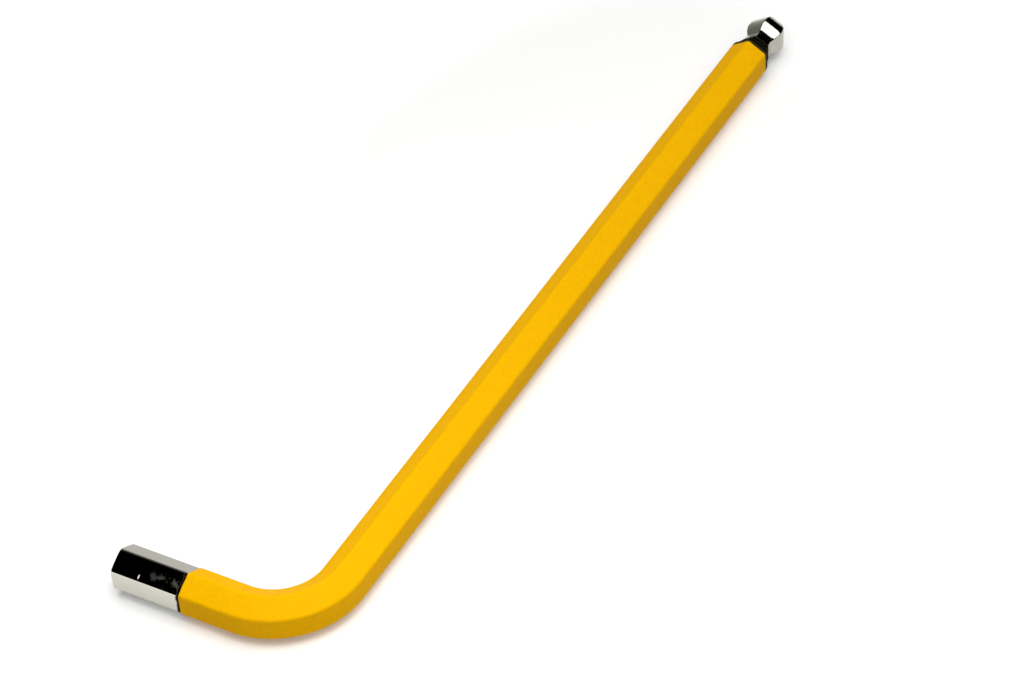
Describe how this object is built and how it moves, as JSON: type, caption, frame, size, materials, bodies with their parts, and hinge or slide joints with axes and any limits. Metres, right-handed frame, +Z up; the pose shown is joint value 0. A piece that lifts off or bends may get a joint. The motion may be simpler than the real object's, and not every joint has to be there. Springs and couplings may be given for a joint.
{
  "type": "ball-end hex key",
  "caption": "L-shaped hex key of bent hexagonal bar: a hex ball on the long arm, a plain tip on the short arm, and a yellow coat between the bare plated ends.",
  "frame": {"origin": "under the middle of the bounding box, at the height of the coat's lowest edge, which lies on the table", "axes": "+X along the long arm towards the ball, +Y along the short arm towards its plain tip, +Z up and square to the plane of the L"},
  "size_m": [0.2082, 0.0442, 0.0093],
  "materials": {
    "plated_steel": "bright plated hexagonal bar, with faint drawing lines along it",
    "yellow_coat": "thick yellow coat, satin with a fine orange-peel texture"
  },
  "bodies": {
    "root": {"steel_key": "plated_steel", "yellow_coat": "yellow_coat"}
  },
  "joints": []
}
